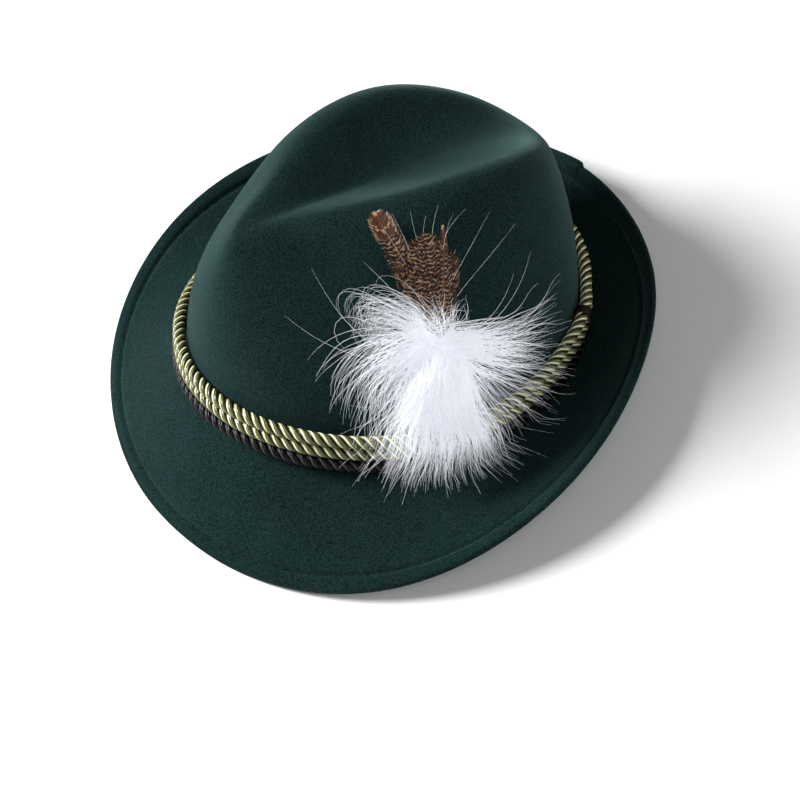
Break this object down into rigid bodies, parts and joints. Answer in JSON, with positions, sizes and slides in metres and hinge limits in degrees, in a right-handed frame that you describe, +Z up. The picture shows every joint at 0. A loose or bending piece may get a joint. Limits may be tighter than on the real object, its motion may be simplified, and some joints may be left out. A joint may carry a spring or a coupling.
{
  "type": "tyrolean hat",
  "caption": "Green felt hat with teardrop dented crown, turned brim, twisted cord band, barred feathers and white plume.",
  "frame": {"origin": "on the floor under the middle of the resting hat, at the centre of its box", "axes": "+Z up, -Y towards the front of the hat, +X towards the wearer's left, where the feathers are"},
  "size_m": [0.2816, 0.2742, 0.1292],
  "materials": {
    "green_felt": "bottle green wool felt with a fine nap",
    "dark_cord": "twisted dark cord with a slight sheen",
    "gold_cord": "twisted olive gold cord, glossy",
    "brown_thread": "wound dark brown thread",
    "barred_feather": "barred brown and cream feather",
    "white_plume": "fine white strands"
  },
  "bodies": {
    "root": {"felt_body": "green_felt", "black_cord": "dark_cord", "gold_cord_lower": "gold_cord", "gold_cord_upper": "gold_cord", "cord_wrap": "brown_thread", "pheasant_feather_long": "barred_feather", "pheasant_feather_short": "barred_feather", "white_plume": "white_plume"}
  },
  "joints": []
}
